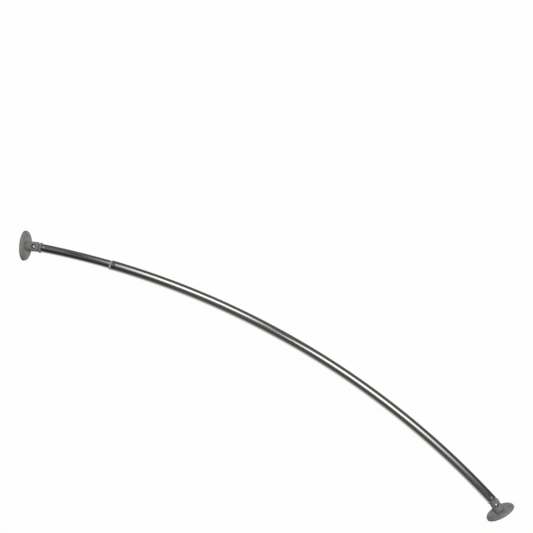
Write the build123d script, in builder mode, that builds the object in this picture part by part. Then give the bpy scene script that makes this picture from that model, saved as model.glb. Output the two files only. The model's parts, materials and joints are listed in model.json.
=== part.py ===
from build123d import *
import os
from math import cos, degrees, radians, sin

# Curved telescopic shower curtain rod with a swivelling wall flange at each end.
# Millimetres. +X runs along the rod from the left wall to the right one, +Y is the side that the rod
# bows towards, and +Z is up, along the pivot bolts. The origin is the middle of the left flange's
# wall face.

# Bow and tubes: lengths are measured along the bow
BOW_RADIUS = 2000.0
OUTER_TUBE_LENGTH = 1081.2
INNER_TUBE_LENGTH = 800.0
INNER_TUBE_SHOWN = 167.2
OUTER_TUBE_DIAMETER = 25.4
INNER_TUBE_DIAMETER = 21.5
TUBE_WALL = 0.8

# Sleeve in the mouth of the outer tube: a lip outside, a spigot inside
LIP_LENGTH = 3.7
LIP_HOLLOW = 0.35
LIP_EDGE = 0.35
BAND_LENGTH = 1.3
SPIGOT_LENGTH = 28.0
SPIGOT_FIT = 0.03
SLIDE_CLEARANCE = 0.08

# Guide bush on the hidden end of the inner tube
GLIDE_LENGTH = 14.0
GLIDE_SPIGOT_LENGTH = 16.0
GLIDE_WALL = 2.0
GLIDE_CLEARANCE = 0.1

# End plugs, pressed into the tubes and staked with a dimple
PLUG_LENGTH = 26.0
PLUG_WALL = 2.4
PLUG_FIT = 0.25
COLLAR_DIAMETER = 25.4
LEFT_COLLAR_THICKNESS = 5.6
RIGHT_COLLAR_THICKNESS = 2.4
COLLAR_FLAT = 0.2
TONGUE_THICKNESS = 5.0
TONGUE_WIDTH = 16.0
DIMPLE_FROM_END = 8.0
DIMPLE_ANGLE = 16.0
DIMPLE_RADIUS = 5.0
DIMPLE_DEPTH = 0.6

# Wall flanges
FLANGE_DIAMETER = 72.0
FLANGE_RIM_WIDTH = 3.4
FLANGE_RIM_HEIGHT = 1.5
FLANGE_SHOULDER = 7.8
FLANGE_FACE = 8.8
FACE_DIAMETER = 59.0
FACE_ROUND = 0.6
FACE_WALL = 2.0
HUB_DIAMETER = 24.6
CORE_DIAMETER = 16.2
RIB_THICKNESS = 1.3
RIB_SETBACK = 0.6
MID_RING_DIAMETER = 47.0
BOSS_DIAMETER = 9.6
SCREW_HOLE_DIAMETER = 5.0
COUNTERSINK_DIAMETER = 10.0
SCREW_COUNT = 3

# Swivel knuckle on each flange
STEM_DIAMETER = 24.0
FACE_TO_PIVOT = 16.7
PIVOT_TO_TIP = 10.8
TIP_RADIUS = 24.0
TIP_ROUND = 1.0
PIVOT_TO_COLLAR = 11.7
SLOT_CLEARANCE = 0.3
SLOT_BEHIND_PIVOT = 9.3
CORE_FLOOR = 1.6
CHEEK_WEB = 2.2
LEFT_SWIVEL = 5.7
RIGHT_SWIVEL = 11.7

# Pivot bolts and nuts
BOLT_DIAMETER = 6.0
BOLT_HOLE_CLEARANCE = 0.08
BOLT_PROUD = 0.5
HEAD_DIAMETER = 11.5
HEAD_HEIGHT = 3.6
HEAD_ROUND = 1.6
HEAD_CLEARANCE = 0.45
DRIVE_LENGTH = 5.6
DRIVE_WIDTH = 1.3
DRIVE_DEPTH = 2.0
NUT_FLATS = 10.0
NUT_HEIGHT = 3.2
NUT_CLEARANCE = 0.15
THREAD_CLEARANCE = 0.02

# Places that follow from the sizes
UP = Vector(0, 0, 1)
STEM_RADIUS = STEM_DIAMETER / 2
PIVOT_TO_WALL = FLANGE_FACE + FACE_TO_PIVOT
SLEEVE_SHOWN = LIP_LENGTH + BAND_LENGTH
SLOT_THICKNESS = TONGUE_THICKNESS + 2 * SLOT_CLEARANCE
SEAT_HEIGHT = SLOT_THICKNESS / 2 + CHEEK_WEB
BOLT_HOLE = BOLT_DIAMETER + 2 * BOLT_HOLE_CLEARANCE
SLIDE_BORE = INNER_TUBE_DIAMETER / 2 + SLIDE_CLEARANCE
OUTER_BORE = OUTER_TUBE_DIAMETER / 2 - TUBE_WALL
INNER_BORE = INNER_TUBE_DIAMETER / 2 - TUBE_WALL

HALF_BOW = (INNER_TUBE_SHOWN + SLEEVE_SHOWN + OUTER_TUBE_LENGTH) / (2 * BOW_RADIUS)
MOUTH = -HALF_BOW + (INNER_TUBE_SHOWN + SLEEVE_SHOWN) / BOW_RADIUS
INNER_END = -HALF_BOW + INNER_TUBE_LENGTH / BOW_RADIUS


def tube_end_direction(side):
    """Direction in which a tube's end points: side is -1 at the left wall and 1 at the right."""
    return Vector(side * cos(HALF_BOW), -sin(HALF_BOW), 0)


def wall_direction(side):
    """Direction from a pivot bolt to its wall, with the flange swivelled as it stands."""
    swivel = LEFT_SWIVEL if side < 0 else -RIGHT_SWIVEL
    return tube_end_direction(side).rotate(Axis.Z, swivel)


def collar_thickness(side):
    """Thickness of a plug's collar, which is a thin ring where it meets the wider tube."""
    return LEFT_COLLAR_THICKNESS if side < 0 else RIGHT_COLLAR_THICKNESS


def tube_end_to_pivot(side):
    """Step from a tube's end to the middle of its pivot bolt."""
    return tube_end_direction(side) * (PIVOT_TO_COLLAR + collar_thickness(side))


LEFT_END_ON_BOW = Vector(-sin(HALF_BOW), cos(HALF_BOW), 0) * BOW_RADIUS
BOW_CENTRE = -(LEFT_END_ON_BOW + tube_end_to_pivot(-1) + wall_direction(-1) * PIVOT_TO_WALL)
BOW_AXIS = Axis(BOW_CENTRE, (0, 0, -1))


def across_rod(angle):
    """Plane across the rod at an angle along the bow: x points outwards, z along the rod to +X."""
    outwards = Vector(sin(angle), cos(angle), 0)
    along = Vector(cos(angle), -sin(angle), 0)
    return Plane(origin=BOW_CENTRE + outwards * BOW_RADIUS, x_dir=outwards, z_dir=along)


def bow_arc(length):
    """Turn about the bow's centre, in degrees, that covers a length along the rod."""
    return degrees(length / BOW_RADIUS)


def pivot_place(side):
    """Middle of a pivot bolt."""
    return across_rod(side * HALF_BOW).origin + tube_end_to_pivot(side)


def dimple_place(side, tube_radius):
    """Centre of the ball that stakes a tube to its plug."""
    section = across_rod(side * (HALF_BOW - DIMPLE_FROM_END / BOW_RADIUS))
    lean = radians(DIMPLE_ANGLE)
    outwards = section.x_dir * sin(lean) + UP * cos(lean)
    return section.origin + outwards * (tube_radius + DIMPLE_RADIUS - DIMPLE_DEPTH)


def save(piece, name):
    piece.part.label = name
    export_step(piece.part, f"parts/{name}.step")


os.makedirs("parts", exist_ok=True)

LEFT_DIMPLE = dimple_place(-1, INNER_TUBE_DIAMETER / 2)
RIGHT_DIMPLE = dimple_place(1, OUTER_TUBE_DIAMETER / 2)

# Inner tube, dimpled near its wall end
with BuildPart() as inner_bore:
    with BuildSketch(across_rod(-HALF_BOW)):
        Circle(INNER_BORE)
    revolve(axis=BOW_AXIS, revolution_arc=bow_arc(INNER_TUBE_LENGTH))
    with Locations(LEFT_DIMPLE):
        Sphere(DIMPLE_RADIUS + TUBE_WALL, mode=Mode.SUBTRACT)

with BuildPart() as inner_tube:
    with BuildSketch(across_rod(-HALF_BOW)):
        Circle(INNER_TUBE_DIAMETER / 2)
    revolve(axis=BOW_AXIS, revolution_arc=bow_arc(INNER_TUBE_LENGTH))
    add(inner_bore.part, mode=Mode.SUBTRACT)
    with Locations(LEFT_DIMPLE):
        Sphere(DIMPLE_RADIUS, mode=Mode.SUBTRACT)
save(inner_tube, "inner_tube")

# Outer tube, dimpled near its wall end
with BuildPart() as outer_bore:
    with BuildSketch(across_rod(MOUTH)):
        Circle(OUTER_BORE)
    revolve(axis=BOW_AXIS, revolution_arc=bow_arc(OUTER_TUBE_LENGTH))
    with Locations(RIGHT_DIMPLE):
        Sphere(DIMPLE_RADIUS + TUBE_WALL, mode=Mode.SUBTRACT)

with BuildPart() as outer_tube:
    with BuildSketch(across_rod(MOUTH)):
        Circle(OUTER_TUBE_DIAMETER / 2)
    revolve(axis=BOW_AXIS, revolution_arc=bow_arc(OUTER_TUBE_LENGTH))
    add(outer_bore.part, mode=Mode.SUBTRACT)
    with Locations(RIGHT_DIMPLE):
        Sphere(DIMPLE_RADIUS, mode=Mode.SUBTRACT)
save(outer_tube, "outer_tube")

# Mouth sleeve: its hollow lip rises from the inner tube to the outer tube's full diameter
mouth_plane = across_rod(MOUTH)
lip_profile_plane = Plane(
    origin=mouth_plane.origin, x_dir=mouth_plane.x_dir, z_dir=mouth_plane.y_dir
)
with BuildPart() as mouth_sleeve:
    with BuildSketch(lip_profile_plane):
        with BuildLine():
            band_edge = (OUTER_TUBE_DIAMETER / 2, BAND_LENGTH)
            lip_edge = (SLIDE_BORE + LIP_EDGE, SLEEVE_SHOWN)
            Polyline((SLIDE_BORE, 0), (OUTER_TUBE_DIAMETER / 2, 0), band_edge)
            SagittaArc(band_edge, lip_edge, LIP_HOLLOW)
            Polyline(lip_edge, (SLIDE_BORE, SLEEVE_SHOWN), (SLIDE_BORE, 0))
        make_face()
    revolve(axis=Axis(mouth_plane.origin, mouth_plane.z_dir))
    with BuildSketch(mouth_plane):
        Circle(OUTER_BORE - SPIGOT_FIT)
        Circle(SLIDE_BORE, mode=Mode.SUBTRACT)
    revolve(axis=BOW_AXIS, revolution_arc=bow_arc(SPIGOT_LENGTH))
save(mouth_sleeve, "mouth_sleeve")

# Guide bush: a ring that slides in the outer tube, with a spigot in the inner tube's end
with BuildPart() as inner_tube_glide:
    with BuildSketch(across_rod(INNER_END)):
        Circle(OUTER_BORE - GLIDE_CLEARANCE)
        Circle(INNER_BORE - PLUG_FIT - GLIDE_WALL, mode=Mode.SUBTRACT)
    revolve(axis=BOW_AXIS, revolution_arc=bow_arc(GLIDE_LENGTH))
    with BuildSketch(across_rod(INNER_END - GLIDE_SPIGOT_LENGTH / BOW_RADIUS)):
        Circle(INNER_BORE - PLUG_FIT)
        Circle(INNER_BORE - PLUG_FIT - GLIDE_WALL, mode=Mode.SUBTRACT)
    revolve(axis=BOW_AXIS, revolution_arc=bow_arc(GLIDE_SPIGOT_LENGTH))
save(inner_tube_glide, "inner_tube_glide")

for name, side, tube_bore, dimple in (
    ("left", -1, INNER_BORE, LEFT_DIMPLE),
    ("right", 1, OUTER_BORE, RIGHT_DIMPLE),
):
    pivot = pivot_place(side)
    to_tube = -tube_end_direction(side)
    to_rod = -wall_direction(side)
    wall_plane = Plane(origin=pivot - to_rod * PIVOT_TO_WALL, x_dir=UP, z_dir=to_rod)
    stem_axis = Axis(wall_plane.origin, to_rod)
    flange_profile_plane = Plane(origin=wall_plane.origin, x_dir=UP, z_dir=-wall_plane.y_dir)
    knuckle_plane = Plane(origin=pivot, x_dir=to_rod, z_dir=UP)
    plug_plane = Plane(origin=pivot, x_dir=to_tube, z_dir=UP)
    collar_plane = Plane(origin=pivot + to_tube * PIVOT_TO_COLLAR, x_dir=UP, z_dir=to_tube)
    collar = collar_thickness(side)

    # End plug: tongue, collar and a hollow barrel that follows the bow inside the tube
    with BuildPart() as end_plug:
        with BuildSketch(collar_plane):
            Circle(COLLAR_DIAMETER / 2)
        extrude(amount=collar)
        fillet(end_plug.edges().filter_by(GeomType.CIRCLE), (collar - COLLAR_FLAT) / 2)
        with BuildSketch(collar_plane.offset(collar / 2)):
            Circle(tube_bore - PLUG_FIT)
        extrude(amount=collar / 2)
        with BuildSketch(plug_plane):
            Circle(TONGUE_WIDTH / 2)
            Rectangle(PIVOT_TO_COLLAR, TONGUE_WIDTH, align=(Align.MIN, Align.CENTER))
        extrude(amount=TONGUE_THICKNESS / 2, both=True)
        with BuildSketch(plug_plane):
            Circle(BOLT_HOLE / 2)
        extrude(amount=TONGUE_THICKNESS / 2, both=True, mode=Mode.SUBTRACT)
        barrel_start = -HALF_BOW if side < 0 else HALF_BOW - PLUG_LENGTH / BOW_RADIUS
        with BuildSketch(across_rod(barrel_start)):
            Circle(tube_bore - PLUG_FIT)
            Circle(tube_bore - PLUG_FIT - PLUG_WALL, mode=Mode.SUBTRACT)
        revolve(axis=BOW_AXIS, revolution_arc=bow_arc(PLUG_LENGTH))
        with Locations(dimple):
            Sphere(DIMPLE_RADIUS + TUBE_WALL + PLUG_FIT, mode=Mode.SUBTRACT)
    save(end_plug, f"{name}_end_plug")

    # Hollow of the flange's back, between its rim, hub, mid ring, ribs and screw bosses
    with BuildPart() as flange_back:
        with BuildSketch(flange_profile_plane):
            with BuildLine():
                hub_foot = (HUB_DIAMETER / 2, 0)
                hub_top = (HUB_DIAMETER / 2, FLANGE_FACE - FACE_WALL)
                roof_edge = (FACE_DIAMETER / 2 - FACE_WALL, FLANGE_FACE - FACE_WALL)
                rim_inside = FLANGE_DIAMETER / 2 - FLANGE_RIM_WIDTH
                Polyline((rim_inside, FLANGE_RIM_HEIGHT), (rim_inside, 0), hub_foot, hub_top, roof_edge)
                EllipticalCenterArc(
                    (roof_edge[0], FLANGE_RIM_HEIGHT),
                    rim_inside - roof_edge[0],
                    roof_edge[1] - FLANGE_RIM_HEIGHT,
                    start_angle=0,
                    arc_size=90,
                )
            make_face()
        revolve(axis=stem_axis)
        with BuildSketch(wall_plane.offset(RIB_SETBACK)):
            Circle((MID_RING_DIAMETER + RIB_THICKNESS) / 2)
            Circle((MID_RING_DIAMETER - RIB_THICKNESS) / 2, mode=Mode.SUBTRACT)
            with PolarLocations(FLANGE_DIAMETER / 4, SCREW_COUNT):
                Rectangle(FLANGE_DIAMETER / 2, RIB_THICKNESS)
            with PolarLocations(MID_RING_DIAMETER / 4, SCREW_COUNT, start_angle=180 / SCREW_COUNT):
                Rectangle(MID_RING_DIAMETER / 2, RIB_THICKNESS)
        extrude(amount=FLANGE_FACE, mode=Mode.SUBTRACT)
        with BuildSketch(wall_plane):
            with PolarLocations(MID_RING_DIAMETER / 2, SCREW_COUNT, start_angle=180 / SCREW_COUNT):
                Circle(BOSS_DIAMETER / 2)
        extrude(amount=FLANGE_FACE, mode=Mode.SUBTRACT)

    # Wall flange: domed plate with a raised face, and a stem that ends in the slotted knuckle
    with BuildPart() as wall_flange:
        with BuildSketch(wall_plane):
            Circle(STEM_RADIUS)
        extrude(amount=PIVOT_TO_WALL + PIVOT_TO_TIP)
        with BuildSketch(knuckle_plane):
            Rectangle(2 * STEM_DIAMETER, 2 * STEM_DIAMETER, align=(Align.MIN, Align.CENTER))
            with Locations((PIVOT_TO_TIP - TIP_RADIUS, 0)):
                Circle(TIP_RADIUS, mode=Mode.SUBTRACT)
        extrude(amount=STEM_DIAMETER, both=True, mode=Mode.SUBTRACT)
        fillet(wall_flange.faces().sort_by(stem_axis)[-1].edges(), TIP_ROUND)
        with BuildSketch(flange_profile_plane):
            with BuildLine():
                shoulder = (FACE_DIAMETER / 2, FLANGE_SHOULDER)
                rim_top = (FLANGE_DIAMETER / 2, FLANGE_RIM_HEIGHT)
                face_round = (FACE_DIAMETER / 2 - FACE_ROUND, FLANGE_FACE - FACE_ROUND)
                Line(shoulder, (shoulder[0], face_round[1]))
                CenterArc(face_round, FACE_ROUND, 0, 90)
                Polyline((face_round[0], FLANGE_FACE), (0, FLANGE_FACE), (0, 0))
                Polyline((0, 0), (FLANGE_DIAMETER / 2, 0), rim_top)
                EllipticalCenterArc(
                    (shoulder[0], rim_top[1]),
                    rim_top[0] - shoulder[0],
                    shoulder[1] - rim_top[1],
                    start_angle=0,
                    arc_size=90,
                )
            make_face()
        revolve(axis=stem_axis)
        add(flange_back.part, mode=Mode.SUBTRACT)
        with BuildSketch(wall_plane):
            Circle(CORE_DIAMETER / 2)
        extrude(amount=PIVOT_TO_WALL - SLOT_BEHIND_PIVOT - CORE_FLOOR, mode=Mode.SUBTRACT)
        with Locations(wall_plane.offset(FLANGE_FACE)):
            with PolarLocations(MID_RING_DIAMETER / 2, SCREW_COUNT, start_angle=180 / SCREW_COUNT):
                CounterSinkHole(SCREW_HOLE_DIAMETER / 2, COUNTERSINK_DIAMETER / 2, FLANGE_FACE, 90)
        with BuildSketch(knuckle_plane):
            with Locations((-SLOT_BEHIND_PIVOT, 0)):
                Rectangle(
                    SLOT_BEHIND_PIVOT + STEM_DIAMETER, 2 * STEM_DIAMETER, align=(Align.MIN, Align.CENTER)
                )
        extrude(amount=SLOT_THICKNESS / 2, both=True, mode=Mode.SUBTRACT)
        with BuildSketch(knuckle_plane):
            Circle(BOLT_HOLE / 2)
        extrude(amount=STEM_RADIUS, both=True, mode=Mode.SUBTRACT)
        with BuildSketch(knuckle_plane.offset(SEAT_HEIGHT)):
            RegularPolygon(NUT_FLATS / 2 + NUT_CLEARANCE, 6, major_radius=False)
        extrude(amount=STEM_RADIUS, mode=Mode.SUBTRACT)
        with BuildSketch(knuckle_plane.offset(-SEAT_HEIGHT)):
            Circle(HEAD_DIAMETER / 2 + HEAD_CLEARANCE)
        extrude(amount=-STEM_RADIUS, mode=Mode.SUBTRACT)
    save(wall_flange, f"{name}_wall_flange")

    # Pivot bolt: pan head under the lower cheek, end just through the nut
    with BuildPart() as pivot_bolt:
        with BuildSketch(knuckle_plane.offset(-SEAT_HEIGHT)):
            Circle(HEAD_DIAMETER / 2)
        extrude(amount=-HEAD_HEIGHT)
        fillet(pivot_bolt.edges().filter_by(GeomType.CIRCLE).sort_by(Axis.Z)[0], HEAD_ROUND)
        with BuildSketch(knuckle_plane.offset(-SEAT_HEIGHT)):
            Circle(BOLT_DIAMETER / 2)
        extrude(amount=2 * SEAT_HEIGHT + NUT_HEIGHT + BOLT_PROUD)
        with BuildSketch(knuckle_plane.offset(-SEAT_HEIGHT - HEAD_HEIGHT)):
            Rectangle(DRIVE_LENGTH, DRIVE_WIDTH)
            Rectangle(DRIVE_WIDTH, DRIVE_LENGTH)
        extrude(amount=DRIVE_DEPTH, mode=Mode.SUBTRACT)
    save(pivot_bolt, f"{name}_pivot_bolt")

    # Thin nut in the upper cheek's hexagon pocket
    with BuildPart() as pivot_nut:
        with BuildSketch(knuckle_plane.offset(SEAT_HEIGHT)):
            RegularPolygon(NUT_FLATS / 2, 6, major_radius=False)
            Circle(BOLT_DIAMETER / 2 + THREAD_CLEARANCE, mode=Mode.SUBTRACT)
        extrude(amount=NUT_HEIGHT)
    save(pivot_nut, f"{name}_pivot_nut")
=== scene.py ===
import json
import math

import bmesh
import bpy
from mathutils import Euler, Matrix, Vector, noise


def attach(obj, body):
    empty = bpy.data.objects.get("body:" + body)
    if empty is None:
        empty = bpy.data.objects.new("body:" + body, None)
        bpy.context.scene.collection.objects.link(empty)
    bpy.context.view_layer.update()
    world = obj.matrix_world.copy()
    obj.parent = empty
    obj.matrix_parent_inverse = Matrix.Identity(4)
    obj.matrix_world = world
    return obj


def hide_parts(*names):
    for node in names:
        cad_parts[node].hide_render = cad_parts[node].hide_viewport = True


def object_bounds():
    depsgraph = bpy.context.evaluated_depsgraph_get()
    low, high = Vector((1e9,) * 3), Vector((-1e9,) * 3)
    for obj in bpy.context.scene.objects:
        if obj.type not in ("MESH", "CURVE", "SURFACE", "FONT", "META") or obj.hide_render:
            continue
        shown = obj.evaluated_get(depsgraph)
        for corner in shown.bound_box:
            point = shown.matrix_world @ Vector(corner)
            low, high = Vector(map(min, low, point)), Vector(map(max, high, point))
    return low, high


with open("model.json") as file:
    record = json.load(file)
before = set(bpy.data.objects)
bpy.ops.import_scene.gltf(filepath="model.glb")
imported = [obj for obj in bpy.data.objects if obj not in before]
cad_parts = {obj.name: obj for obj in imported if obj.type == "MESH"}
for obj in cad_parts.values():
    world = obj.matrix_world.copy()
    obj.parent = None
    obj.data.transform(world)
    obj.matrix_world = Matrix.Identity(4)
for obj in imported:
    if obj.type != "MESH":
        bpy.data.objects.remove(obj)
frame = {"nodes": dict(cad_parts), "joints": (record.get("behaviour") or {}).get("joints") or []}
cad_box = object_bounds()
cad = frame["nodes"]
joint_place = {joint["name"]: Vector(joint["pos_m"]) for joint in frame["joints"]}

MM = 0.001
UP = Vector((0, 0, 1))

# Sizes that the drawn tubes share with the CAD model, in metres
BOW_RADIUS = 2000 * MM
INNER_TUBE_LENGTH = 800 * MM
INNER_TUBE_SHOWN = 167.2 * MM
INNER_TUBE_RADIUS = 10.75 * MM
SLEEVE_SHOWN = 5 * MM
OUTER_TUBE_LENGTH = 1081.2 * MM
OUTER_TUBE_RADIUS = 12.7 * MM
TUBE_WALL = 0.8 * MM
TUBE_EDGE_ROUND = 0.2 * MM
DIMPLE_FROM_END = 8 * MM
DIMPLE_LEAN = math.radians(16)
DIMPLE_RADIUS = 5 * MM
DIMPLE_DEPTH = 0.6 * MM
DIMPLE_EDGE_SOFTNESS = 0.15 * MM
TUBE_SHARP_EDGE = math.radians(50)

# Mesh steps on the tubes: coarse along the plain run, fine round the dimple
RING_STEP = 10 * MM
DIMPLE_RING_STEP = 0.3 * MM
DIMPLE_REACH = 5 * MM
TURN_STEP = math.radians(3.75)
DIMPLE_TURN_STEP = math.radians(1.25)
DIMPLE_TURN_REACH = math.radians(27.5)

# Peened end of each pivot bolt
PEEN_RINGS = 7
PEEN_HEIGHT = 0.35 * MM
PEEN_LUMPS = 900.0
BOLT_SHARP_EDGE = math.radians(32)
SAME_PLACE = 0.001 * MM

# Skin of the plastic: how fine its clouds, grain and smudges are, per metre, and how deep its grain is
CLOUD_SCALE = 70.0
GRAIN_SCALE = 1400.0
GRAIN_DEPTH = 0.02 * MM
PLASTIC_SMUDGE_SCALE = 55.0
GREY_SPECULAR = 0.18

# Finish of the plated fasteners
PLATED_SMUDGE = 0.06
PLATED_SMUDGE_SCALE = 300.0

# Finish of the steel: fine lines along the tube, and a duller patch where the dimple is pressed in
STEEL_COLOUR = (0.79, 0.775, 0.748, 1)
STEEL_ROUGHNESS = 0.12
STEEL_SMUDGE = 0.02
STEEL_SMUDGE_SCALE = 40.0
STEEL_LINES = (4200.0, 22.0, 1.0)
STEEL_LINE_ROUGHNESS = 0.02
STEEL_LINE_DEPTH = 0.0005 * MM
PRESSED_ROUGHNESS = 0.75

BOW_CENTRE = joint_place["telescope"]
HALF_BOW = (INNER_TUBE_SHOWN + SLEEVE_SHOWN + OUTER_TUBE_LENGTH) / (2 * BOW_RADIUS)
MOUTH = -HALF_BOW + (INNER_TUBE_SHOWN + SLEEVE_SHOWN) / BOW_RADIUS
FLOOR_HEIGHT = cad_box[0][2]


# Shader building

def add(tree, kind, sockets=None, **settings):
    """A node with its settings and sockets filled: a socket given for a socket becomes a link."""
    made = tree.nodes.new(kind)
    for name, value in settings.items():
        setattr(made, name, value)
    for name, value in (sockets or {}).items():
        if isinstance(value, bpy.types.NodeSocket):
            tree.links.new(value, made.inputs[name])
        else:
            made.inputs[name].default_value = value
    return made


def multiply(tree, a, b):
    return add(tree, "ShaderNodeMath", {0: a, 1: b}, operation="MULTIPLY").outputs[0]


def total(tree, a, b):
    return add(tree, "ShaderNodeMath", {0: a, 1: b}, operation="ADD").outputs[0]


def spread(tree, value, low, high):
    """The middle of a noise's range stretched to run from low to high."""
    sockets = {"Value": value, "From Min": 0.3, "From Max": 0.7, "To Min": low, "To Max": high}
    return add(tree, "ShaderNodeMapRange", sockets).outputs[0]


def noise_at(tree, place, scale, detail=2.0):
    sockets = {"Vector": place, "Scale": scale, "Detail": detail}
    return add(tree, "ShaderNodeTexNoise", sockets).outputs[0]


def object_place(tree):
    return add(tree, "ShaderNodeTexCoord").outputs["Object"]


def effect(name, inputs, outputs):
    """A shader node group with named sockets, as its tree, its input node and its output node."""
    tree = bpy.data.node_groups.new(name, "ShaderNodeTree")
    for label, kind in inputs:
        tree.interface.new_socket(label, in_out="INPUT", socket_type=kind)
    for label, kind in outputs:
        tree.interface.new_socket(label, in_out="OUTPUT", socket_type=kind)
    return tree, tree.nodes.new("NodeGroupInput"), tree.nodes.new("NodeGroupOutput")


def use(tree, group, sockets):
    return add(tree, "ShaderNodeGroup", sockets, node_tree=group)


def handling_effect():
    """Soft smudges from handling, which raise and lower the roughness."""
    inputs = (
        ("Roughness", "NodeSocketFloat"),
        ("Smudge", "NodeSocketFloat"),
        ("Scale", "NodeSocketFloat"),
    )
    tree, given, result = effect("handling", inputs, (("Roughness", "NodeSocketFloat"),))
    cloud = noise_at(tree, object_place(tree), given.outputs["Scale"], 4.0)
    smudge = multiply(tree, spread(tree, cloud, -1.0, 1.0), given.outputs["Smudge"])
    tree.links.new(total(tree, smudge, given.outputs["Roughness"]), result.inputs["Roughness"])
    return tree


def moulded_effect():
    """Skin of moulded plastic: faint clouds in the colour and a fine grain."""
    inputs = (
        ("Colour", "NodeSocketColor"),
        ("Clouds", "NodeSocketFloat"),
        ("Grain", "NodeSocketFloat"),
    )
    outputs = (("Colour", "NodeSocketColor"), ("Height", "NodeSocketFloat"))
    tree, given, result = effect("moulded skin", inputs, outputs)
    place = object_place(tree)
    cloud = spread(tree, noise_at(tree, place, CLOUD_SCALE, 3.0), -1.0, 1.0)
    shade = total(tree, multiply(tree, cloud, given.outputs["Clouds"]), 1.0)
    tinted = add(
        tree,
        "ShaderNodeVectorMath",
        {0: given.outputs["Colour"], "Scale": shade},
        operation="SCALE",
    )
    grain = multiply(tree, noise_at(tree, place, GRAIN_SCALE), given.outputs["Grain"])
    tree.links.new(tinted.outputs[0], result.inputs["Colour"])
    tree.links.new(grain, result.inputs["Height"])
    return tree


def plated_effect():
    """Skin of plated steel: small bright and dull crystals."""
    inputs = (
        ("Colour", "NodeSocketColor"),
        ("Crystals", "NodeSocketFloat"),
        ("Contrast", "NodeSocketFloat"),
    )
    outputs = (("Colour", "NodeSocketColor"), ("Height", "NodeSocketFloat"))
    tree, given, result = effect("plated skin", inputs, outputs)
    sockets = {"Vector": object_place(tree), "Scale": given.outputs["Crystals"]}
    crystal = add(tree, "ShaderNodeTexVoronoi", sockets)
    height = add(tree, "ShaderNodeSeparateColor", {"Color": crystal.outputs["Color"]}).outputs[0]
    centred = total(tree, height, -0.5)
    shade = total(tree, multiply(tree, centred, given.outputs["Contrast"]), 1.0)
    tinted = add(
        tree,
        "ShaderNodeVectorMath",
        {0: given.outputs["Colour"], "Scale": shade},
        operation="SCALE",
    )
    tree.links.new(tinted.outputs[0], result.inputs["Colour"])
    tree.links.new(height, result.inputs["Height"])
    return tree


HANDLING = handling_effect()
MOULDED = moulded_effect()
PLATED = plated_effect()


def new_material(name):
    """An empty material's tree, with its Principled shader wired to the output."""
    material = bpy.data.materials.new(name)
    material.use_nodes = True
    tree = material.node_tree
    tree.nodes.clear()
    shader = tree.nodes.new("ShaderNodeBsdfPrincipled")
    output = tree.nodes.new("ShaderNodeOutputMaterial")
    tree.links.new(shader.outputs[0], output.inputs["Surface"])
    return material, tree, shader


def relief(tree, shader, height, depth):
    """A bump of a real depth in metres on the shader."""
    bump = add(tree, "ShaderNodeBump", {"Height": height, "Strength": 1.0, "Distance": depth})
    tree.links.new(bump.outputs[0], shader.inputs["Normal"])


def plastic(name, colour, clouds, grain, roughness, smudge):
    """Moulded plastic with its colour, gloss and grain."""
    material, tree, shader = new_material(name)
    skin = use(tree, MOULDED, {"Colour": (*colour, 1), "Clouds": clouds, "Grain": grain})
    gloss = use(
        tree,
        HANDLING,
        {"Roughness": roughness, "Smudge": smudge, "Scale": PLASTIC_SMUDGE_SCALE},
    )
    tree.links.new(skin.outputs["Colour"], shader.inputs["Base Color"])
    tree.links.new(gloss.outputs["Roughness"], shader.inputs["Roughness"])
    relief(tree, shader, skin.outputs["Height"], GRAIN_DEPTH)
    return material, shader


def plated_metal(name, colour, metallic, crystals, contrast, roughness, depth):
    """Plated fastener metal."""
    material, tree, shader = new_material(name)
    shader.inputs["Metallic"].default_value = metallic
    skin = use(
        tree, PLATED, {"Colour": (*colour, 1), "Crystals": crystals, "Contrast": contrast}
    )
    gloss = use(
        tree,
        HANDLING,
        {"Roughness": roughness, "Smudge": PLATED_SMUDGE, "Scale": PLATED_SMUDGE_SCALE},
    )
    tree.links.new(skin.outputs["Colour"], shader.inputs["Base Color"])
    tree.links.new(gloss.outputs["Roughness"], shader.inputs["Roughness"])
    relief(tree, shader, skin.outputs["Height"], depth)
    return material


def drawn_steel():
    """Bright stainless tube with fine lines along its length."""
    material, tree, shader = new_material("drawn_steel")
    shader.inputs["Base Color"].default_value = STEEL_COLOUR
    shader.inputs["Metallic"].default_value = 1.0
    unrolled = add(tree, "ShaderNodeUVMap", uv_map="unrolled").outputs[0]
    lines = add(tree, "ShaderNodeMapping", {"Vector": unrolled, "Scale": STEEL_LINES})
    line = noise_at(tree, lines.outputs[0], 1.0, 3.0)
    gloss = use(
        tree,
        HANDLING,
        {"Roughness": STEEL_ROUGHNESS, "Smudge": STEEL_SMUDGE, "Scale": STEEL_SMUDGE_SCALE},
    )
    lined = spread(tree, line, -STEEL_LINE_ROUGHNESS, STEEL_LINE_ROUGHNESS)
    rough = total(tree, gloss.outputs["Roughness"], lined)
    pressed = add(tree, "ShaderNodeAttribute", attribute_name="pressed").outputs["Fac"]
    rough = total(tree, rough, multiply(tree, pressed, PRESSED_ROUGHNESS))
    tree.links.new(rough, shader.inputs["Roughness"])
    relief(tree, shader, line, STEEL_LINE_DEPTH)
    return material


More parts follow.
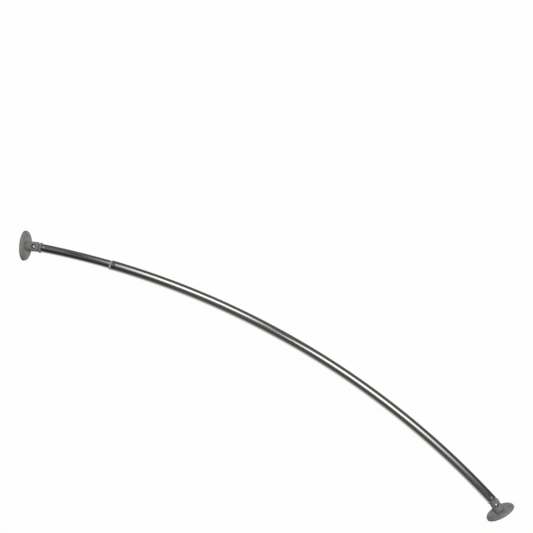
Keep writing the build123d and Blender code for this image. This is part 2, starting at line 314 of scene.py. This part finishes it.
steel = drawn_steel()
grey_plastic, grey_shader = plastic(
    "grey_plastic",
    colour=(0.165, 0.168, 0.158),
    clouds=0.08,
    grain=0.2,
    roughness=0.34,
    smudge=0.05,
)
grey_shader.inputs["Specular IOR Level"].default_value = GREY_SPECULAR
white_plastic, _ = plastic(
    "white_plastic",
    colour=(0.8, 0.8, 0.78),
    clouds=0.02,
    grain=0.3,
    roughness=0.45,
    smudge=0.05,
)
sleeve_plastic, sleeve_shader = plastic(
    "sleeve_plastic",
    colour=(0.54, 0.55, 0.55),
    clouds=0.02,
    grain=0.2,
    roughness=0.14,
    smudge=0.04,
)
sleeve_shader.inputs["Transmission Weight"].default_value = 0.7
sleeve_shader.inputs["IOR"].default_value = 1.49
bolt_zinc = plated_metal(
    "bolt_zinc",
    colour=(0.8, 0.8, 0.78),
    metallic=0.5,
    crystals=1600.0,
    contrast=0.35,
    roughness=0.3,
    depth=0.12 * MM,
)
# Nut metal whose near-black colour is painted shade: it stands for the shade deep in the bolt's hex
# pocket where the nut sits.
nut_zinc_painted_shade = plated_metal(
    "nut_zinc_painted_shade",
    colour=(0.12, 0.12, 0.12),
    metallic=1.0,
    crystals=1200.0,
    contrast=0.3,
    roughness=0.42,
    depth=0.02 * MM,
)


# Pieces

def new_piece(name, mesh, body, slot, material, *nodes):
    """A visible piece that rides on a body and stands for CAD nodes."""
    piece = bpy.data.objects.new(name, mesh)
    bpy.context.scene.collection.objects.link(piece)
    mesh.materials.clear()
    mesh.materials.append(material)
    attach(piece, body)
    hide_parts(*nodes)
    return piece


def graded_steps(start, end, coarse, fine_from, fine_to, fine):
    """Steps from start to end that are fine between two places and coarse elsewhere."""
    stops = [(start, fine_from, coarse), (fine_from, fine_to, fine), (fine_to, end, coarse)]
    places = [start]
    for low, high, step in stops:
        count = math.ceil((high - low) / step)
        places += [low + (high - low) * i / count for i in range(1, count + 1)]
    return places


def dimple_sink(across, along):
    """How far the tube's wall is pressed in at a distance from the middle of its dimple."""
    ball = math.sqrt(max(DIMPLE_RADIUS**2 - across**2 - along**2, 0.0))
    sink = ball - (DIMPLE_RADIUS - DIMPLE_DEPTH)
    return (sink + math.hypot(sink, DIMPLE_EDGE_SOFTNESS)) / 2


def tube_rows(length, radius, dimple_at):
    """Closed outline of the tube's wall: distances along the tube with the wall's radius there."""
    steps = graded_steps(
        TUBE_EDGE_ROUND,
        length - TUBE_EDGE_ROUND,
        RING_STEP,
        dimple_at - DIMPLE_REACH,
        dimple_at + DIMPLE_REACH,
        DIMPLE_RING_STEP,
    )
    bore = radius - TUBE_WALL
    corner = TUBE_EDGE_ROUND * (1 - math.sqrt(0.5))
    outside = [(0, radius - TUBE_EDGE_ROUND), (corner, radius - corner)]
    outside += [(step, radius) for step in steps]
    outside += [(length - corner, radius - corner), (length, radius - TUBE_EDGE_ROUND)]
    inside = [(length, bore + TUBE_EDGE_ROUND), (length - corner, bore + corner)]
    inside += [(step, bore) for step in reversed(steps)]
    inside += [(corner, bore + corner), (0, bore + TUBE_EDGE_ROUND)]
    return outside + inside


def bent_tube(name, start, length, radius, dimple_at):
    """Tube bent round the bow's centre, with its dimple and its surface unrolled as a UV map."""
    rows = tube_rows(length, radius, dimple_at)
    turns = graded_steps(
        DIMPLE_LEAN - math.pi,
        DIMPLE_LEAN + math.pi,
        TURN_STEP,
        DIMPLE_LEAN - DIMPLE_TURN_REACH,
        DIMPLE_LEAN + DIMPLE_TURN_REACH,
        DIMPLE_TURN_STEP,
    )[:-1]
    points = []
    pressed = []
    for along, wall_radius in rows:
        angle = start + along / BOW_RADIUS
        outwards = Vector((math.sin(angle), math.cos(angle), 0))
        middle = BOW_CENTRE + outwards * BOW_RADIUS
        for turn in turns:
            across = (turn - DIMPLE_LEAN) * radius
            sink = dimple_sink(across, along - dimple_at)
            ray = outwards * math.sin(turn) + UP * math.cos(turn)
            points.append(middle + ray * (wall_radius - sink))
            pressed.append(sink / DIMPLE_DEPTH)
    count = len(turns)
    faces = []
    unrolled = []
    edges_round = [*turns, DIMPLE_LEAN + math.pi]
    for i in range(len(rows)):
        j = (i + 1) % len(rows)
        for k in range(count):
            m = (k + 1) % count
            faces.append((i * count + k, j * count + k, j * count + m, i * count + m))
            corners = ((i, k), (j, k), (j, k + 1), (i, k + 1))
            unrolled += [(edges_round[turn] * radius, rows[row][0]) for row, turn in corners]
    mesh = bpy.data.meshes.new(name)
    mesh.from_pydata(points, [], faces)
    layer = mesh.uv_layers.new(name="unrolled")
    layer.data.foreach_set("uv", [value for pair in unrolled for value in pair])
    mesh.attributes.new("pressed", "FLOAT", "POINT").data.foreach_set("value", pressed)
    mesh.shade_smooth()
    mesh.set_sharp_from_angle(angle=TUBE_SHARP_EDGE)
    return mesh


def peened_bolt(name, pivot):
    """The CAD bolt with its cut end hammered over, as a mesh of its own."""
    mesh = cad[name].data.copy()
    mesh.name = name + "_peened"
    work = bmesh.new()
    work.from_mesh(mesh)
    bmesh.ops.remove_doubles(work, verts=work.verts, dist=SAME_PLACE)
    top = max(vertex.co.z for vertex in work.verts)
    cap = [face for face in work.faces if all(v.co.z > top - SAME_PLACE for v in face.verts)]
    bmesh.ops.delete(work, geom=cap, context="FACES_ONLY")
    loose = [edge for edge in work.edges if edge.is_wire]
    bmesh.ops.delete(work, geom=loose, context="EDGES")
    rim = [vertex for vertex in work.verts if vertex.co.z > top - SAME_PLACE]
    rim.sort(key=lambda v: math.atan2(v.co.y - pivot.y, v.co.x - pivot.x))
    outer = rim
    for ring in range(1, PEEN_RINGS):
        share = 1 - ring / PEEN_RINGS
        inner = []
        for vertex in rim:
            flat = Vector((vertex.co.x - pivot.x, vertex.co.y - pivot.y, 0)) * share
            lumps = noise.noise((flat + pivot) * PEEN_LUMPS)
            inner.append(work.verts.new(pivot + flat + UP * (top + PEEN_HEIGHT * lumps)))
        for k in range(len(rim)):
            m = (k + 1) % len(rim)
            work.faces.new((outer[k], outer[m], inner[m], inner[k]))
        outer = inner
    middle = work.verts.new(pivot + UP * top)
    for k in range(len(rim)):
        work.faces.new((outer[k], outer[(k + 1) % len(rim)], middle))
    bmesh.ops.recalc_face_normals(work, faces=work.faces)
    work.to_mesh(mesh)
    work.free()
    mesh.shade_smooth()
    mesh.set_sharp_from_angle(angle=BOLT_SHARP_EDGE)
    return mesh


inner_tube_mesh = bent_tube(
    "inner_tube_drawn", -HALF_BOW, INNER_TUBE_LENGTH, INNER_TUBE_RADIUS, DIMPLE_FROM_END
)
new_piece("inner_tube_drawn", inner_tube_mesh, "inner_rod", "bright_steel", steel, "inner_tube")
outer_tube_mesh = bent_tube(
    "outer_tube_drawn",
    MOUTH,
    OUTER_TUBE_LENGTH,
    OUTER_TUBE_RADIUS,
    OUTER_TUBE_LENGTH - DIMPLE_FROM_END,
)
new_piece("outer_tube_drawn", outer_tube_mesh, "outer_rod", "bright_steel", steel, "outer_tube")

for side in ("left", "right"):
    bolt = side + "_pivot_bolt"
    bolt_mesh = peened_bolt(bolt, joint_place[side + "_pivot"])
    new_piece(bolt + "_peened", bolt_mesh, side + "_flange", "zinc_plate", bolt_zinc, bolt)

finishes = {
    "left_wall_flange": grey_plastic,
    "right_wall_flange": grey_plastic,
    "left_end_plug": grey_plastic,
    "right_end_plug": grey_plastic,
    # The nuts take the metal with the painted pocket shade.
    "left_pivot_nut": nut_zinc_painted_shade,
    "right_pivot_nut": nut_zinc_painted_shade,
    "inner_tube_glide": white_plastic,
    "mouth_sleeve": sleeve_plastic,
}
for name, material in finishes.items():
    if cad[name].material_slots:
        cad[name].material_slots[0].material = material
    else:
        cad[name].data.materials.append(material)


# Studio: pale floor, white surroundings and a softbox, with a dark tunnel and two bright cards for the
# steel to mirror

FLOOR_HALF = 15.0
FLOOR_COLOUR = (0.5, 0.5, 0.5, 1)
FLOOR_GLOW = 0.98
AMBIENT = 0.25
TUNNEL_REACH = 1.35
TUNNEL_INNER_REACH = 0.75
TUNNEL_NARROWS = (-20, -60)
TUNNEL_HALF_ARC = 2.0
TUNNEL_STEPS = 60
TUNNEL_OFF_FLOOR = 1 * MM
# Between two angles round the bow, the inner side grows dimmer towards the left end
# and the outer side towards the right end
TUNNEL_INNER_DIM = 0.4
TUNNEL_INNER_DIM_ARC = (-0.22, -0.45)
TUNNEL_OUTER_DIM = 0.5
TUNNEL_OUTER_DIM_ARC = (0.25, 0.45)
TUNNEL_OUTER_DIM_TURN = (20, 60)
# Brightness of the tunnel's lining by its angle from straight up, outer side of the bow positive
TUNNEL_SHADES = (
    (-122, 0.9),
    (-105, 0.65),
    (-90, 0.4),
    (-75, 0.2),
    (-62, 0.1),
    (-45, 0.06),
    (-20, 0.1),
    (0, 0.15),
    (30, 0.19),
    (64, 0.12),
    (90, 0.1),
    (122, 0.08),
)

CARD_STEPS = 40
CARD_GLOW = 1.38

# Camera, in millimetres of sensor and lens, metres and degrees
SENSOR_WIDTH = 36.0
LENS = 51.394
CAMERA_SHIFT = (-0.03, 0.077)
CAMERA_PLACE = (0.59648, 0.18662, 1.8211)
CAMERA_TURN = (-0.6008, -0.162, 29.266)


def seen_directly(tree):
    """1 for rays from the camera, mirrored rays and rays through clear plastic, 0 for the rest."""
    path = add(tree, "ShaderNodeLightPath").outputs
    mirrored = total(tree, path["Is Glossy Ray"], path["Is Transmission Ray"])
    both = add(
        tree,
        "ShaderNodeMath",
        {0: path["Is Camera Ray"], 1: mirrored},
        operation="ADD",
        use_clamp=True,
    )
    return both.outputs[0]


def panel(name, corners, material):
    mesh = bpy.data.meshes.new(name)
    mesh.from_pydata(corners, [], [range(len(corners))])
    mesh.materials.append(material)
    made = bpy.data.objects.new(name, mesh)
    bpy.context.scene.collection.objects.link(made)
    return made


def floor_material():
    material = bpy.data.materials.new("floor")
    material.use_nodes = True
    tree = material.node_tree
    tree.nodes.clear()
    paper = add(tree, "ShaderNodeBsdfDiffuse", {"Color": FLOOR_COLOUR})
    white = add(tree, "ShaderNodeEmission", {"Color": (1, 1, 1, 1), "Strength": 1.0})
    glow = multiply(tree, seen_directly(tree), FLOOR_GLOW)
    mix = add(tree, "ShaderNodeMixShader", {0: glow, 1: paper.outputs[0], 2: white.outputs[0]})
    add(tree, "ShaderNodeOutputMaterial", {"Surface": mix.outputs[0]})
    return material


def lining_material():
    material = bpy.data.materials.new("tunnel_lining")
    material.use_nodes = True
    tree = material.node_tree
    tree.nodes.clear()
    shade = add(tree, "ShaderNodeAttribute", attribute_name="shade").outputs["Fac"]
    # The lining glows with a painted brightness at each point, which the steel mirrors as a painted
    # reflection.
    lining_glow = add(tree, "ShaderNodeEmission", {"Color": (1, 1, 1, 1), "Strength": shade})
    add(tree, "ShaderNodeOutputMaterial", {"Surface": lining_glow.outputs[0]})
    return material


def mirrored_only(name, points, faces, shades):
    """A glowing stage piece, with a brightness at each point, that shows in reflections alone."""
    mesh = bpy.data.meshes.new(name)
    mesh.from_pydata(points, [], faces)
    mesh.attributes.new("shade", "FLOAT", "POINT").data.foreach_set("value", shades)
    mesh.materials.append(lining)
    made = bpy.data.objects.new(name, mesh)
    bpy.context.scene.collection.objects.link(made)
    made.visible_camera = False
    made.visible_diffuse = False
    made.visible_transmission = False
    made.visible_volume_scatter = False
    made.visible_shadow = False


def share_between(value, start, end):
    """How far a value is on its way from start to end, from 0 to 1."""
    return min(max((value - start) / (end - start), 0.0), 1.0)


def tunnel_shade(arc, turn):
    """Brightness of the lining at an angle round the bow and one from straight up, in degrees."""
    if turn < 0:
        dimmed = 1 - (1 - TUNNEL_INNER_DIM) * share_between(arc, *TUNNEL_INNER_DIM_ARC)
    else:
        outer = share_between(turn, *TUNNEL_OUTER_DIM_TURN)
        dimmed = 1 - (1 - TUNNEL_OUTER_DIM) * outer * share_between(arc, *TUNNEL_OUTER_DIM_ARC)
    for (low, shade), (high, next_shade) in zip(TUNNEL_SHADES, TUNNEL_SHADES[1:]):
        if turn <= high:
            return dimmed * (shade + (next_shade - shade) * (turn - low) / (high - low))


def tunnel_point(arc, turn):
    """Where the lining is at an angle round the bow and one from straight up, in degrees."""
    outwards = Vector((math.sin(arc), math.cos(arc), 0))
    lean = math.radians(turn)
    narrowed = share_between(turn, *TUNNEL_NARROWS)
    reach = TUNNEL_REACH + (TUNNEL_INNER_REACH - TUNNEL_REACH) * narrowed
    ray = (outwards * math.sin(lean) + UP * math.cos(lean)) * reach
    lowest = FLOOR_HEIGHT + TUNNEL_OFF_FLOOR
    if ray.z < lowest:
        ray *= lowest / ray.z
    return BOW_CENTRE + outwards * BOW_RADIUS + ray


def dark_tunnel():
    """Vault over the rod, bent as the rod is, that shows in reflections and nowhere else."""
    turns = range(TUNNEL_SHADES[0][0], TUNNEL_SHADES[-1][0] + 1)
    arcs = [TUNNEL_HALF_ARC * (2 * i / TUNNEL_STEPS - 1) for i in range(TUNNEL_STEPS + 1)]
    points = [tunnel_point(arc, turn) for arc in arcs for turn in turns]
    count = len(turns)
    faces = [
        (i * count + k, i * count + k + 1, (i + 1) * count + k + 1, (i + 1) * count + k)
        for i in range(TUNNEL_STEPS)
        for k in range(count - 1)
    ]
    shades = [tunnel_shade(arc, turn) for arc in arcs for turn in turns]
    mirrored_only("dark_tunnel", points, faces, shades)


def bright_card(name, place, aim, width, depth, left_fade, right_fade):
    """Glowing card over the rod that fades out towards its left and right ends."""
    turn = (Vector(aim) - Vector(place)).to_track_quat("-Z", "Y")
    points = []
    shades = []
    for i in range(CARD_STEPS + 1):
        along = width * i / CARD_STEPS
        fade = min(along / left_fade, (width - along) / right_fade, 1.0)
        fade = fade * fade * (3 - 2 * fade)
        for side in (-depth / 2, depth / 2):
            points.append(Vector(place) + turn @ Vector((width / 2 - along, side, 0)))
            shades.append(CARD_GLOW * fade)
    faces = [(2 * i, 2 * i + 2, 2 * i + 3, 2 * i + 1) for i in range(CARD_STEPS)]
    mirrored_only(name, points, faces, shades)


def softbox(name, place, aim, width, depth, power):
    light = bpy.data.lights.new(name, "AREA")
    light.shape = "RECTANGLE"
    light.size = width
    light.size_y = depth
    light.energy = power
    made = bpy.data.objects.new(name, light)
    bpy.context.scene.collection.objects.link(made)
    made.location = place
    made.rotation_euler = (Vector(aim) - Vector(place)).to_track_quat("-Z", "Y").to_euler()
    made.visible_camera = False
    return made


middle = Vector(((cad_box[0][0] + cad_box[1][0]) / 2, (cad_box[0][1] + cad_box[1][1]) / 2, 0))
floor_corners = [
    (middle.x + x * FLOOR_HALF, middle.y + y * FLOOR_HALF, FLOOR_HEIGHT)
    for x, y in ((-1, -1), (1, -1), (1, 1), (-1, 1))
]
panel("floor", floor_corners, floor_material())

lining = lining_material()
dark_tunnel()
bright_card(
    "card_left",
    place=(0.195, 0.72, 1.0),
    aim=(0.44, 0.09, 0),
    width=1.21,
    depth=0.85,
    left_fade=0.5,
    right_fade=0.44,
)
bright_card(
    "card_right",
    place=(1.229, 0.501, 1.0),
    aim=(1.029, 0.061, 0),
    width=1.28,
    depth=0.8,
    left_fade=0.21,
    right_fade=0.64,
)
key = softbox(
    "key_light",
    place=(0.8, 1.2, 2.6),
    aim=(0.65, 0.09, 0),
    width=1.2,
    depth=0.6,
    power=92.0,
)
key.visible_glossy = False

world = bpy.data.worlds.new("surroundings")
bpy.context.scene.world = world
world.use_nodes = True
world_tree = world.node_tree
world_tree.nodes.clear()
soft = add(world_tree, "ShaderNodeBackground", {"Color": (1, 1, 1, 1), "Strength": AMBIENT})
white = add(world_tree, "ShaderNodeBackground", {"Color": (1, 1, 1, 1), "Strength": 1.0})
surround = add(
    world_tree,
    "ShaderNodeMixShader",
    {0: seen_directly(world_tree), 1: soft.outputs[0], 2: white.outputs[0]},
)
add(world_tree, "ShaderNodeOutputWorld", {"Surface": surround.outputs[0]})

# Camera above the rod, turned so that the rod falls from left to right
camera = bpy.data.cameras.new("camera")
camera.sensor_width = SENSOR_WIDTH
camera.lens = LENS
camera.shift_x, camera.shift_y = CAMERA_SHIFT
camera_object = bpy.data.objects.new("camera", camera)
bpy.context.scene.collection.objects.link(camera_object)
camera_object.location = CAMERA_PLACE
camera_object.rotation_euler = Euler([math.radians(turn) for turn in CAMERA_TURN])
bpy.context.scene.camera = camera_object
bpy.context.scene.view_settings.view_transform = "Standard"
